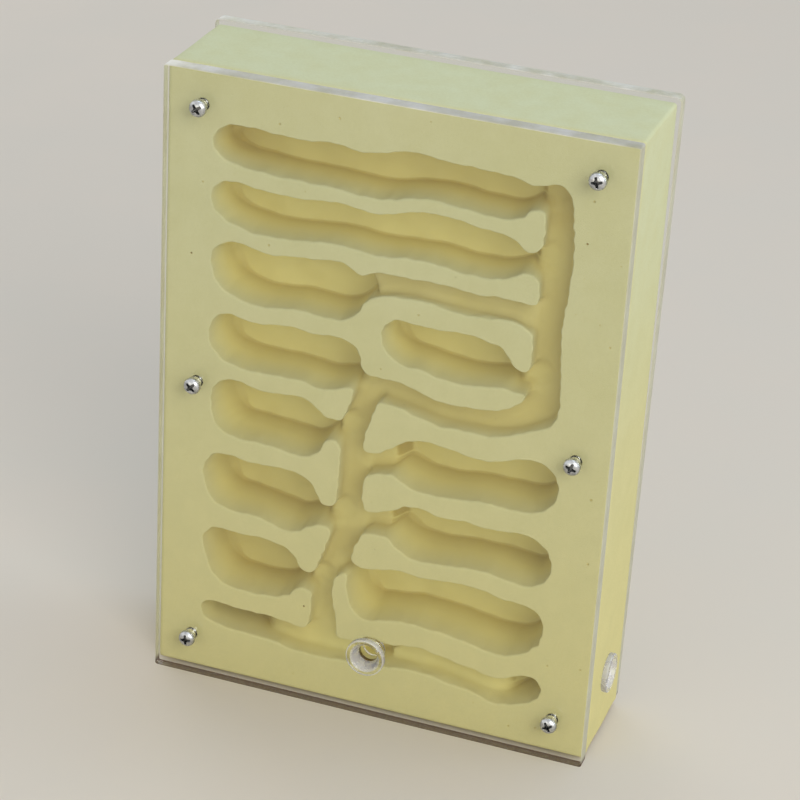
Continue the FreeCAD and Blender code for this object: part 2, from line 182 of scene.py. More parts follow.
def in_parts(task, *arrays, count=1000):
    """A task done on so many rows of the arrays at a time, to keep what it makes small."""
    return np.concatenate([task(*(array[k:k + count] for array in arrays))
                           for k in range(0, max(len(arrays[0]), 1), count)])


def inside(spots, loops):
    """Whether each spot is inside the loops: a line to its right crosses them an odd number
    of times."""
    x0, z0 = np.vstack(loops).T
    x1, z1 = np.vstack([np.roll(loop, -1, axis=0) for loop in loops]).T
    slope = (x1 - x0) / np.where(z1 == z0, 1, z1 - z0)

    def crossed(part):
        x, z = part[:, :1], part[:, 1:]
        crosses = ((z0 > z) != (z1 > z)) & (x < x0 + (z - z0) * slope)
        return crosses.sum(1) % 2 == 1

    return in_parts(crossed, spots)


def nearest(spots, others):
    """How far each spot is from the nearest of the others."""
    return in_parts(lambda part: np.sqrt(((part[:, None] - others) ** 2).sum(-1).min(1)), spots)


def room(spots, normals, others, most=30.0):
    """Radius of the largest circle that touches each spot, lies along its normal and meets
    no other.

    With d from the spot to another point and n the normal, it is the least d.d / (2 d.n)
    over the points that lie ahead, apart from the spot's own neighbours on its loop.
    """
    neighbour, level = 1.5, 0.02

    def radius(part, normal):
        apart = others - part[:, None]
        ahead = np.einsum("ijk,ik->ij", apart, normal)
        square = (apart ** 2).sum(-1)
        free = np.where((ahead > level) & (square > neighbour ** 2),
                        square / (2 * np.maximum(ahead, level)), most)
        return np.minimum(free.min(1), most)

    return in_parts(radius, spots, normals, count=500)


def ripple(spots, size, seed):
    """A gentle random unevenness, mostly from -1 to 1: eight waves of about this size."""
    draw = np.random.default_rng(seed)
    turn, phase = draw.uniform(0, 2 * np.pi, (2, 8))
    wave = 2 * np.pi * draw.uniform(0.6, 1.5, 8) / size
    along = spots[..., :1] * np.cos(turn) + spots[..., 1:] * np.sin(turn)
    return np.sin(along * wave + phase).sum(-1) / 3.2


def ramp(values, start, end):
    """How far the values are on the way from start to end, held between 0 and 1."""
    return np.clip((values - start) / (end - start), 0, 1)


# --- Surfaces: points in millimetres, triangles, material number, marks ---
# The marks are how dark a point is painted, by grit, by painted shade in creases and recesses, and
# by other darkening, and how deep it lies in the plaster, both from 0 to 1.

def grid_triangles(rows, columns, wrap=True):
    """Two triangles for each cell of a grid whose points are numbered row by row."""
    i, j = np.meshgrid(np.arange(rows - 1), np.arange(columns if wrap else columns - 1),
                       indexing="ij")
    a, b = (i * columns + j).ravel(), (i * columns + (j + 1) % columns).ravel()
    c, d = b + columns, a + columns
    return np.vstack([np.column_stack([a, b, c]), np.column_stack([a, c, d])])


def dirt_and_shade_marks(dark_mark):
    """Marks of a surface darkened this much, by grit in pinholes and by painted shade in screw
    recesses, with no hollow.
    """
    return np.column_stack([dark_mark, 0 * dark_mark])


def grid(points, marks=CLEAN):
    """The surface of a grid of points, rows by columns by three, that closes along its columns."""
    rows, columns = points.shape[:2]
    return points.reshape(-1, 3), grid_triangles(rows, columns), 0, marks


def strip(loops, levels, marks=CLEAN):
    """A wall through loops of equal count, each set at its level behind or in front."""
    rows = [np.column_stack([loop[:, 0], np.broadcast_to(level, len(loop)), loop[:, 1]])
            for loop, level in zip(loops, levels)]
    return grid(np.array(rows), marks)


def fill(loops, levels, inner=np.empty((0, 2)), inner_levels=(), marks=CLEAN):
    """Flat or gently uneven ground between loops: even triangles through the loops and the
    inner points."""
    spots = np.vstack([*loops, inner])
    depth = np.concatenate([np.broadcast_to(level, len(loop))
                            for loop, level in zip(loops, levels)] + [inner_levels])
    starts = np.cumsum([0] + [len(loop) for loop in loops])
    edges = np.vstack([k + np.column_stack([np.arange(len(loop)),
                                            np.roll(np.arange(len(loop)), -1)])
                       for k, loop in zip(starts, loops)])
    _, _, faces, source, _, _ = delaunay_2d_cdt(
        [Vector(spot) for spot in spots.tolist()], edges.tolist(), [], 1, 1e-5)
    first = np.array([s[0] if s else -1 for s in source])
    if (first < 0).any():
        raise RuntimeError("Two loops of a flat face cross")
    triangles = first[np.array(faces)]
    triangles = triangles[inside(spots[triangles].mean(1), loops)]
    return np.column_stack([spots[:, 0], depth, spots[:, 1]]), triangles, 0, marks


def rounded(corners, steps):
    """A closed outline whose corners, each (across, along, cut), are quadratic curves that
    begin and end one cut away from the corner."""
    corners = np.array(corners, float)
    spots, cuts = corners[:, :2], corners[:, 2:]
    before, after = ((spots + cuts * unit(np.roll(spots, way, axis=0) - spots))[:, None]
                     for way in (1, -1))
    t = np.linspace(0, 1, steps)[None, :, None]
    curves = (1 - t) ** 2 * before + 2 * t * (1 - t) * spots[:, None] + t ** 2 * after
    return closed(curves.reshape(-1, 2))


def turned(profile, sides, centre, axis):
    """A profile of (radius, way along) carried round an axis."""
    axis = np.array(axis, float)
    across = np.array([axis[1], axis[2], axis[0]])
    turn = turns(sides)[None, :, None]
    radius, along = profile.T[:, :, None, None]
    return grid(np.array(centre) + along * axis
                + radius * (np.cos(turn) * across + np.sin(turn) * np.cross(axis, across)))


def put_mesh(name, surfaces, materials, crisp_angle=35.0):
    """One object from surfaces: points that meet become one, normals look outward, and only
    edges that turn by more than the crisp angle stay crisp."""
    points, triangles, slots, marks = zip(*surfaces)
    starts = np.cumsum([0] + [len(part) for part in points])
    slots = np.concatenate([np.broadcast_to(slot, len(part))
                            for slot, part in zip(slots, triangles)])
    marks = np.vstack([np.broadcast_to(mark, (len(part), 2))
                       for mark, part in zip(marks, points)])
    triangles = np.vstack([part + k for part, k in zip(triangles, starts)])
    mesh = bpy.data.meshes.new(name)
    mesh.from_pydata((np.vstack(points) * MM).tolist(), [], triangles.tolist())
    mesh.polygons.foreach_set("material_index", slots.astype(np.int32))
    if marks.any():
        for mark, values in zip(("speck", "sunk"), marks.T):
            mesh.attributes.new(mark, "FLOAT", "POINT").data.foreach_set("value", values.copy())
    for material in materials:
        mesh.materials.append(material)
    work = bmesh.new()
    work.from_mesh(mesh)
    bmesh.ops.remove_doubles(work, verts=work.verts, dist=JOIN * MM)
    bmesh.ops.recalc_face_normals(work, faces=work.faces)
    work.to_mesh(mesh)
    work.free()
    mesh.shade_smooth()
    mesh.set_sharp_from_angle(angle=math.radians(crisp_angle))
    piece = bpy.data.objects.new(name, mesh)
    bpy.context.scene.collection.objects.link(piece)
    return piece


def settle(piece, body, slot, *nodes):
    """The piece moves with the body and stands for the nodes, which are hidden; the slot is not
    used.
    """
    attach(piece, body)
    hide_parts(*nodes)


# --- Materials ---

def colour(code):
    """A hex sRGB colour as linear red, green, blue and full alpha."""
    share = np.array([int(code[k:k + 2], 16) / 255 for k in (1, 3, 5)])
    linear = np.where(share <= 0.04045, share / 12.92, ((share + 0.055) / 1.055) ** 2.4)
    return (*linear.tolist(), 1.0)


def put(tree, kind, inputs=None, **settings):
    """Adds a shader node. Settings are the node's own. Each input is a value for its socket,
    or another node's output to link it to."""
    node = tree.nodes.new("ShaderNode" + kind)
    for name, value in settings.items():
        setattr(node, name, value)
    for name, value in (inputs or {}).items():
        if isinstance(value, bpy.types.NodeSocket):
            tree.links.new(value, node.inputs[name])
        else:
            node.inputs[name].default_value = value
    return node


def new_material(name):
    """An empty material, its tree, and where on the object each point is, in metres."""
    material = bpy.data.materials.new(name)
    material.use_nodes = True
    material.node_tree.nodes.clear()
    place = put(material.node_tree, "TexCoord").outputs["Object"]
    return material, material.node_tree, place


def noise(place, size, detail=3.0, roughness=0.5):
    """How a cloudy noise, whose lumps are about this many millimetres, varies from 0 to 1."""
    return put(place.id_data, "TexNoise", {"Vector": place, "Scale": 1 / (size * MM),
                                           "Detail": detail, "Roughness": roughness}).outputs[0]


def cells(place, size):
    """How far each point is from the middle of its cell, of about this many millimetres."""
    return put(place.id_data, "TexVoronoi",
               {"Vector": place, "Scale": 1 / (size * MM)}).outputs["Distance"]


def between(value, low, high, start=0.0, end=1.0):
    """The value, spread so that low gives start and high gives end."""
    return put(value.id_data, "MapRange", {"Value": value, "From Min": low, "From Max": high,
                                           "To Min": start, "To Max": end}).outputs[0]


def tint(factor, first, second):
    """A colour between two, each a linear colour or another node's output."""
    return put(factor.id_data, "Mix", {0: factor, 6: first, 7: second},
               data_type="RGBA").outputs[2]


def reckon(operation, first, second):
    """A sum on a node's output and a second output or number."""
    return put(first.id_data, "Math", {0: first, 1: second}, operation=operation).outputs[0]


def relief(strength, depth, height, under=None):
    """Small relief as deep as this many millimetres, on top of the relief under it."""
    inputs = {"Strength": strength, "Distance": depth * MM, "Height": height}
    if under is not None:
        inputs["Normal"] = under
    return put(height.id_data, "Bump", inputs).outputs[0]


def coat(material, inputs, see_through=False):
    """Ends a material with its surface. A see-through one lets the light of the lamps and of
    the room go straight through on its way to what lies behind, as if it were thin."""
    tree = material.node_tree
    surface = put(tree, "BsdfPrincipled", inputs).outputs[0]
    if see_through:
        path = put(tree, "LightPath").outputs
        passing = reckon("MAXIMUM", path["Is Shadow Ray"], path["Is Diffuse Ray"])
        thin = put(tree, "BsdfTransparent", {"Color": (0.95, 0.96, 0.95, 1)}).outputs[0]
        surface = put(tree, "MixShader", {0: passing, 1: surface, 2: thin}).outputs[0]
    put(tree, "OutputMaterial", {"Surface": surface})
    return material


def cast_plaster(settings):
    """Fine casting plaster coloured pale yellow in the mix and left bare: matt and chalky,
    faintly cloudy where it dried unevenly, with pinholes from the pour. Light is painted into
    it too: yellower toward its foot for painted warm light, paler outside at the top for
    painted cool sky light, and deeper in tone inside the hollows for painted warm bounce
    light. The ledges' creases hold painted shade, and some hollows are painted darker."""
    material, tree, place = new_material("cast_plaster")
    # Places, and so the bounds of the tints by height, are in metres.
    where = put(tree, "SeparateXYZ", {"Vector": place}).outputs
    sunk, speck = (put(tree, "Attribute", attribute_name=mark).outputs["Fac"]
                   for mark in ("sunk", "speck"))
    patch = between(noise(place, 8, 5, 0.6), 0.3, 0.7)
    grain = between(noise(place, 0.7, 3), 0.3, 0.7)
    # Where the painted cool sky light falls: the sides and top, high up, outside the hollows.
    upper_sky_light = reckon("MULTIPLY", between(where["Y"], -0.0186, -0.0160, 0, 0.8),
                   between(where["Z"], 0.11, 0.20))
    upper_sky_light = reckon("MULTIPLY", upper_sky_light, between(sunk, 0, 0.02, 1, 0))
    dots = reckon("MULTIPLY", between(cells(place, 9), 0.016, 0.028, 1, 0),
                  between(noise(place, 17, 1), 0.55, 0.6))
    dots = reckon("MAXIMUM", dots, between(speck, 0.5, 1))
    shade = settings.face_colour
    for factor, tone in (
            (between(noise(place, 45, 4), 0.35, 0.65), settings.cloud_colour),
            # Painted warm light from below: yellower toward the bottom of the block.
            (between(where["Z"], 0.17, 0.03, 0, 0.9), settings.low_warm_light_colour),
            # Painted cool sky light, paler and cooler high on the sides and top.
            (upper_sky_light, settings.upper_sky_light_colour),
            (between(patch, 0, 1, 0, 0.3), settings.dry_colour),
            (between(grain, 0, 1, 0, 0.10), colour("#A79F6C")),
            # Painted warm bounce light: lighter and yellower the deeper the plaster lies in a
            # hollow.
            (between(sunk, 0.03, 0.5, 0, 0.9), settings.deep_bounce_light_colour),
            # Painted shade along the ledges' creases, the hollows painted darker, and grit in
            # small pinholes.
            (between(speck, 0, 0.5, 0, 0.8), settings.shade_and_darkening_colour),
            (between(dots, 0, 1, 0, 0.75), settings.speck_colour)):
        shade = tint(factor, shade, tone)
    bump = relief(0.35, 0.10, between(cells(place, 1.6), 0.08, 0.2))
    bump = relief(0.35, 0.05, noise(place, 0.5, 4, 0.65), bump)
    bump = relief(0.3, 0.5, noise(place, 6, 3), bump)
    return coat(material, {"Base Color": shade, "Roughness": between(grain, 0, 1, 0.82, 0.95),
                           "IOR": 1.52, "Specular IOR Level": 0.25, "Normal": bump})


def clear_acrylic(settings):
    """Cast acrylic sheet, polished in the casting: clear and glossy, with faint rub marks
    and a little haze where it has been wiped."""
    material, tree, place = new_material("clear_cast_acrylic")
    rub = put(tree, "Mapping", {"Vector": place, "Rotation": (0, 0.6, 0),
                                "Scale": (1, 1, 0.08)}).outputs[0]
    return coat(material, {
        "Base Color": settings.sheet_colour, "IOR": 1.49, "Transmission Weight": 1.0,
        "Roughness": between(noise(place, 30, 3), 0.45, 0.7, 0.0, 0.035),
        "Normal": relief(0.04, 0.01, noise(rub, 0.8, 2))}, see_through=True)


def sawn_acrylic(name, tone, through):
    """The sheet's sawn edge: frosted, so that it scatters the light, with fine marks across it
    from the saw, and its colour painted with the yellow of the plaster that shows through it.
    On top it is scraped smoother, whiter, and more light goes through. The feet are painted
    dark brown, a painted contact shadow with a brown reflection."""
    material, tree, place = new_material(name)
    marks = put(tree, "Mapping", {"Vector": place, "Scale": (1, 0.05, 1)}).outputs[0]
    marks = noise(marks, 0.7, 4, 0.7)
    height = put(tree, "SeparateXYZ", {"Vector": place}).outputs["Z"]
    shade = tint(between(noise(place, 9, 3), 0.3, 0.7), tone, colour("#C4C0A8"))
    # Painted contact shadow with a brown reflection at the sheet's foot.
    shade = tint(between(height, 0.0030, 0.0010), shade, colour("#452408"))
    return coat(material, {
        "Base Color": shade, "IOR": 1.49, "Transmission Weight": through,
        "Roughness": between(marks, 0.3, 0.7, 0.3, 0.55),
        "Normal": relief(0.3, 0.05, marks)}, see_through=True)


def moulded_plastic(name, tone, through, rough):
    """Soft clear plastic from a mould: glassy on the flange and bore, where the mould was
    polished, and milky lilac in the funnel and on the rim, which tubes have rubbed dull."""
    material, _, place = new_material(name)
    milk = noise(place, 2.5, 3)
    return coat(material, {
        "Base Color": tint(between(milk, 0.35, 0.65), tone, colour("#F6F5F5")),
        "IOR": 1.5, "Transmission Weight": through,
        "Roughness": between(milk, 0.3, 0.7, rough, 1.4 * rough + 0.02),
        "Normal": relief(0.2, 0.08, noise(place, 0.9, 3))}, see_through=True)


def zinc_plate(settings):
    """Steel, cold headed, thread rolled and bright zinc plated: a grey-white metal with a
    soft sheen, faint blotches from the bath, and painted shade in the driver's recess, darker
    where it is deeper."""
    material, tree, place = new_material("bright_zinc_plated_steel")
    blotch = noise(place, 1.4, 4, 0.6)
    recess_shade = put(tree, "Attribute", attribute_name="speck").outputs["Fac"]
    shade = tint(between(blotch, 0.35, 0.65), settings.zinc_colour, colour("#A9ABAD"))
    # Painted shade in the driver's recess, darker where it is deeper.
    shade = tint(between(recess_shade, 0.15, 0.8, 0, 0.75), shade, colour("#403E3A"))
    return coat(material, {
        "Base Color": shade, "Metallic": 1.0,
        "Roughness": between(blotch, 0.3, 0.7, 0.2, 0.38),
        "Normal": relief(0.25, 0.02, noise(place, 0.15, 3))})


def painted_board(settings):
    """A painted studio board: plain, pale and matt, with the faint mottle of rolled paint."""
    material, _, place = new_material("painted_board")
    soft = noise(place, 60, 3)
    return coat(material, {
        "Base Color": tint(between(soft, 0.3, 0.7, 0, 0.25), settings.floor_colour,
                           colour("#D8D3CA")),
        "Roughness": between(soft, 0.3, 0.7, 0.75, 0.85), "Specular IOR Level": 0.2,
        "Normal": relief(0.15, 0.1, noise(place, 1.5, 3))})


# --- Settings ---

def amount(name, description, default, **kind):
    """A setting that is a number."""
    return FloatProperty(name=name, description=description, default=default, **kind)


def length(name, description, default):
    """A length setting, from millimetres."""
    return amount(name, description, default * MM, unit="LENGTH", precision=5)


def tilt(name, description, default):
    """An angle setting, from degrees."""
    return amount(name, description, math.radians(default), subtype="ANGLE")


def swatch(name, description, code):
    """A colour setting, from its hex code."""
    return FloatVectorProperty(name=name, description=description, default=colour(code),
                               size=4, min=0, max=1, subtype="COLOR")


class PlasterSettings(bpy.types.PropertyGroup):
    face_colour: swatch("Plaster", "Colour of the dry plaster", "#D1CD9D")
    # Painted warm light toward the bottom, not a colour of the plaster itself.
    low_warm_light_colour: swatch("Low plaster", "The same near the bottom, where the colour settled",
                       "#DCD091")
    # Painted cool sky light on the upper sides and top.
    upper_sky_light_colour: swatch("Outer sides", "Plaster high on the sides and top, which dried in the "
                         "open mould", "#D2D6B4")
    cloud_colour: swatch("Clouds", "Plaster that dried a little paler", "#D5D1A4")
    dry_colour: swatch("Patches", "Small patches where it dried darker", "#C8C28A")
    # Painted warm bounce light deep in the hollows.
    deep_bounce_light_colour: swatch("Hollows", "Plaster deep in the hollows, not rubbed down like the face",
                        "#E6DA8E")
    # Painted shade along the foot of the ledges; some runs and chambers are painted darker with
    # it, and small pinholes take it as grit.
    shade_and_darkening_colour: swatch("Dust", "Dust along the foot of the ledges and in the walked runs",
                        "#B2983A")
    speck_colour: swatch("Specks", "Grit and soil in the pinholes", "#6E5A33")
    top_lip: length("Upper lip", "Roundness of a hollow's upper rim", 0.35)
    foot_lip: length("Lower lip", "Roundness of a hollow's lower rim", 0.8)
    chamber_cove: length("Chamber cove", "Roundness where a chamber's wall meets its floor", 0.8)
    end_cove: length("End cove", "The same at a chamber's left end", 3.2)
    tunnel_cove: length("Tunnel cove", "Roundness where a tunnel's wall meets its floor", 2.2)
    draft: tilt("Draft", "Lean of the hollows' walls", 4)
    edge_radius: length("Edges", "Roundness of the block's outer edges", 1.2)
    pinholes: IntProperty(name="Pinholes", description="Burst bubbles on the face", default=46)


class SheetSettings(bpy.types.PropertyGroup):
    sheet_colour: swatch("Sheet", "Colour of light through the sheet", "#FBFCFA")
    # Painted with the yellow of the plaster that shows through the edge.
    edge_colour: swatch("Edge", "Colour of the frosted edge", "#D2D0BA")
    top_edge_colour: swatch("Top edge", "Colour of the scraped top edge", "#EEEBE8")
    edge_bevel: length("Scraped edge", "Width of the scraped corner round each sheet", 0.3)


class PortSettings(bpy.types.PropertyGroup):
    plastic_colour: swatch("Plastic", "Milky tint of the soft plastic", "#D8D5E0")
    nub_height: length("Gate mark", "How far the moulding's gate mark stands proud", 0.5)


class FixingSettings(bpy.types.PropertyGroup):
    zinc_colour: swatch("Zinc", "Colour of the bright plating", "#D3D5D6")
    thread_pitch: length("Thread pitch", "Way along for one turn of the thread", 0.5)
    cross_width: length("Cross width", "Width of the driver recess's arms", 0.95)
    cross_span: length("Cross span", "Length of the driver recess across the head", 3.7)
    cross_depth: length("Cross depth", "Depth of the driver recess", 1.5)


class StageSettings(bpy.types.PropertyGroup):
    floor_colour: swatch("Floor", "Colour of the board it stands on", "#DDD2C6")
    key_power: amount("Key light", "Power of the large lamp in front", 20.5, unit="POWER")
    low_power: amount("Low light", "Power of the warm lamp near the floor", 1.6, unit="POWER")
    side_power: amount("Side light", "Power of the lamp on the right", 7.5, unit="POWER")
    back_power: amount("Back light", "Power of the lamp behind, left", 9.0, unit="POWER")
    top_power: amount("Top light", "Power of the cool lamp overhead", 7.0, unit="POWER")
    sky_level: amount("Room light", "Strength of the light all round", 0.46)
    azimuth: tilt("Azimuth", "Camera to the right of the front", 18.353)
    elevation: tilt("Elevation", "Camera above level", 26.802)
    roll: tilt("Roll", "Camera turned about its own view", 3.360)
    distance: length("Distance", "Camera to the point it looks at", 864.735)
    lens: amount("Lens", "Focal length", 124.70, subtype="DISTANCE_CAMERA")


SETTINGS = {"plaster": PlasterSettings, "sheets": SheetSettings, "ports": PortSettings,
            "fixings": FixingSettings, "stage": StageSettings}


# --- The plaster block ---

DEEPEST = 20.0                 # depth at which the plaster's depth mark is full
MOST_DARKENING = 0.45                # most darkening outside the pinholes, painted crease shade included; past 0.5 it turns dark
DRILLED = 13.0                 # round the front port the ground was drilled and is crisp
WIDEST_HOLE = 6.0              # a wider opening in the face is a hollow
PIT_SIDES = 10
# Places of the larger dark pinholes, as x and z.
MARKS = np.array([(-23, 212), (-48, 180), (72.5, 129), (37, 59.8), (60.8, 180), (-66, 152),
                  (-23.5, 34)])


def near_port(apart):
    """1 on the drilled ground round the front port, falling to 0 over the last 3 mm."""
    return ramp(apart, DRILLED, DRILLED - 3)


def depth_map(points, triangles, front, port):
    """How deep the frame's hollows go, as a function of spots on the face.

    Rays go in on a square grid. Depths past the least are averaged under a bell curve, each
    with its share of hollow ground, so that floors join by short slopes, by long ones round
    a pocket deeper than the rest, and by steps at the well behind the front port. Between
    grid points the depth is the two-way straight-line mean.
    """
    pitch, margin = 0.4, 5                    # the grid's, and its way in from the edge
    least, pocket, through = 3.0, 20.0, 30    # depths of a hollow, a pocket and a screw hole
    even_blur, pocket_blur, drilled_blur, pocket_reach = 1.0, 5.0, 0.45, 4.5
    tree = BVHTree.FromPolygons(points.tolist(), triangles.tolist())
    xs, zs = (np.arange(points[:, k].min() + margin, points[:, k].max() - margin, pitch)
              for k in (0, 2))
    rays = np.array([[tree.ray_cast(Vector((x, front - 1, z)), Vector((0, 1, 0)))[3]
                      for z in zs.tolist()] for x in xs.tolist()], float) - 1
    hollow = (rays > least) & (rays < through)
    across = np.fft.fftfreq(len(xs))[:, None]
    up = np.fft.rfftfreq(len(zs))[None]

    def soften(values, width):
        bell = np.exp(-2 * (np.pi * width / pitch) ** 2 * (across ** 2 + up ** 2))
        return np.fft.irfft2(np.fft.rfft2(values) * bell, values.shape)

    def mean_depth(width):
        share = np.maximum(soften(hollow.astype(float), width), 0) + 1e-5
        return (soften(np.where(hollow, rays, 0), width) + 1e-5 * rays[hollow].mean()) / share

    deepest = soften((hollow & (rays > pocket)).astype(float), pocket_reach)
    depth = mean_depth(even_blur)
    depth += (mean_depth(pocket_blur) - depth) * np.clip(6 * deepest, 0, 1)
    apart = np.hypot(xs[:, None] - port[0], zs[None] - port[1])
    depth += (mean_depth(drilled_blur) - depth) * near_port(apart)

    def read(spots):
        place = (spots - [xs[0], zs[0]]) / pitch
        cell = np.clip(np.floor(place).astype(int), 0, np.array(depth.shape) - 2)
        (i, j), (u, v) = cell.T, np.clip(place - cell, 0, 1).T
        return ((1 - u) * ((1 - v) * depth[i, j] + v * depth[i, j + 1])
                + u * ((1 - v) * depth[i + 1, j] + v * depth[i + 1, j + 1]))

    return read


def darkening_in(spots, deep):
    """How much darker a hollow is painted at each spot: the runs, the top chamber
    and most of all its left end, and the chambers at the lower left."""
    x, z = spots.T
    run = ramp(deep, 12, 8) * ramp(z, 35, 55)
    top = ramp(z, 178, 184) * (0.1 + 0.18 * ramp(x, -40, -55))
    lower_left = ramp(z, 90, 50) * ramp(x, -15, -25)
    return 0.2 * run + top + 0.12 * lower_left


def hollow_walls(rims, fixed, depth_at, front, plaster):
    """Walls of the hollows: their surfaces, their borders on the face, and their feet.

    From the face a quarter circle turns the lip in, a leaning wall goes down, and a quarter
    circle turns the cove out to the floor. The lip is roundest where it faces up. All of it
    is drawn in where the hollow is too narrow for the full width. The rim is a little uneven
    and its foot smoother, because the tool that cut the mould's core was round. The foot of
    the ledges is painted darker, a painted shade in the crease, and some hollows are painted
    darker all over.
    """
    read_in, tunnel, chamber = 2.5, 8.5, 14    # way in from the rim, and depths of the two
    unevenness, waviness, support = 0.2, 0.12, 0.35
    spots = np.vstack(rims)
    normals = np.vstack([unit(smooth_round(right_normals(rim), 0.8)) for rim in rims])
    ends = np.cumsum([len(rim) for rim in rims])[:-1]
    parts = [np.split(values, ends) for values in (
        normals, room(spots, normals, spots), room(spots, -normals, np.vstack([spots, fixed])))]
    top, foot, chamber_cove, end_cove, tunnel_cove = (
        getattr(plaster, name) / MM
        for name in ("top_lip", "foot_lip", "chamber_cove", "end_cove", "tunnel_cove"))
    lean = math.tan(plaster.draft)
    bend = np.radians(np.linspace(0, 90, 6))
    surfaces, borders, feet, foot_levels = [], [], [], []
    for rim, n, free, land in zip(rims, *parts):
        faces_right, faces_up = np.clip(n, 0, 1).T
        near = depth_at(rim + n * np.minimum(read_in, 0.6 * free)[:, None])
        lip = top + (foot - top) * faces_up ** 2
        lip = np.minimum(lip, np.minimum(0.6 * land, 0.3 * near))
        lip = np.minimum(smooth_round(lip, 2), 0.7 * land)
        cove = np.interp(near, [tunnel, chamber], [tunnel_cove, chamber_cove])
        cove += np.maximum(end_cove - cove, 0) * faces_right ** 2
        cove = smooth_round(np.minimum(cove, 0.5 * near), 1)
        reach = lip / 2 + lean * (near - lip - cove) + cove
        most = np.minimum(reach, 0.85 * free)
        width = np.minimum(smooth_round(np.minimum(reach, 0.78 * free), 1.5), most)
        pull = smooth_round(rim, 5) - rim
        pull *= np.minimum(1, 0.1 * np.minimum(free, land)
                           / np.maximum(np.linalg.norm(pull, axis=1), 0.001))[:, None]
        pull = smooth_round(pull, 1.5)
        deep = depth_at(rim + pull + n * width[:, None])
        reach = lip / 2 + lean * (deep - lip - cove) + cove
        share = width / reach
        rough = unevenness * ripple(rim, 5, 2)
        outset = smooth_round(np.minimum(support, 0.25 * land), 1.5)
        rows = [(rough - lip / 2 - outset, 0 * lip, 0)]
        for angle in bend:
            out = -lip / 2 + lip * math.sin(angle)
            rows.append((np.where(out > 0, out * share, out) + rough,
                         lip * (1 - math.cos(angle)), 0))
        for t in np.linspace(0, 1, 6)[1:]:
            down = lip + (deep - cove - lip) * t
            shift = waviness * math.sin(math.pi * t) * ripple(
                rim + down[:, None] * [0.6, 0.8], 9, 5)
            rows.append(((lip / 2 + lean * (down - lip) + shift) * share + rough * (1 - t) ** 2,
                         down, t))
        for angle in bend[1:]:
            rows.append(((reach - cove * math.cos(angle)) * share,
                         deep - cove + cove * math.sin(angle), 1))
        loops = [rim + pull * t + n * out[:, None] for out, _, t in rows]
        levels = [front + down for _, down, _ in rows]
        sunk = np.concatenate([down for _, down, _ in rows]) / DEEPEST
        ledge = ramp(deep, 8, 12) * faces_up
        dark_mark = darkening_in(rim, deep)
        # Painted shade along the foot of the ledges, deepest at the crease, and the hollows that
        # are painted darker all over.
        darkening = [0.35 * ledge * t ** 3 + dark_mark * t for _, _, t in rows[:-2]]
        darkening = np.concatenate(darkening + [0.25 * ledge + dark_mark, 0.05 * ledge + dark_mark])
        surfaces.append(strip(loops, levels,
                              np.column_stack([np.minimum(darkening, MOST_DARKENING), sunk])))
        borders.append(loops[0])
        feet.append(loops[-1])
        foot_levels.append(levels[-1])
    return surfaces, borders, feet, foot_levels


def hollow_floor(feet, foot_levels, depth_at, front):
    """The floor between the walls' feet: an even net of points, closer together on the
    slopes, each as deep as the map says. The steep ground is painted darker too."""
    wide_pitch, close_pitch, gap, slope, reach = 1.05, 0.5, 0.45, 0.7, 0.3
    edge = np.vstack(feet)
    low, high = edge.min(0), edge.max(0)

    def steep(spots):
        return np.hypot(*(depth_at(spots + step) - depth_at(spots - step)
                          for step in reach * np.eye(2))) / (2 * reach)

    def net(pitch):
        x, z = np.meshgrid(np.arange(low[0], high[0], pitch),
                           np.arange(low[1], high[1], pitch * 0.866))
        x[1::2] += pitch / 2
        return np.column_stack([x.ravel(), z.ravel()])

    def clear(spots):
        spots = spots[inside(spots, feet)]
        return spots[nearest(spots, edge) > gap]

    coarse, fine = clear(net(wide_pitch)), net(close_pitch)
    fine = clear(fine[steep(fine) > slope])
    inner = np.vstack([coarse[nearest(coarse, fine) > close_pitch], fine])
    level = front + depth_at(inner)
    sunk = (np.concatenate([*foot_levels, level]) - front) / DEEPEST
    # The floor's steep ground is painted darker, and so are some hollows all over.
    darkening = np.concatenate([np.zeros(len(edge)), 0.4 * ramp(steep(inner), 0.8, 1.8)])
    darkening = np.minimum(darkening + darkening_in(np.vstack([edge, inner]), DEEPEST * sunk), MOST_DARKENING)
    return fill(feet, foot_levels, inner, level, np.column_stack([darkening, sunk]))


def box_ring(low, high, inset, radius, counts):
    """Points round an upright rectangle with quarter-circle corners, counter-clockwise and as
    many whatever the inset and radius."""
    (x0, z0), (x1, z1) = low + inset + radius, high - inset - radius
    quarter = np.linspace(0, np.pi / 2, 6)
    corners = [np.column_stack([x + radius * np.cos(quarter + turn),
                                z + radius * np.sin(quarter + turn)])
               for x, z, turn in ((x1, z0, -np.pi / 2), (x1, z1, 0), (x0, z1, np.pi / 2),
                                  (x0, z0, np.pi))]
    ring = []
    for k, corner in enumerate(corners):
        following = corners[(k + 1) % 4][0]
        t = np.arange(1, counts[k % 2])[:, None] / counts[k % 2]
        ring += [corner, corner[-1] + (following - corner[-1]) * t]
    return np.vstack(ring)


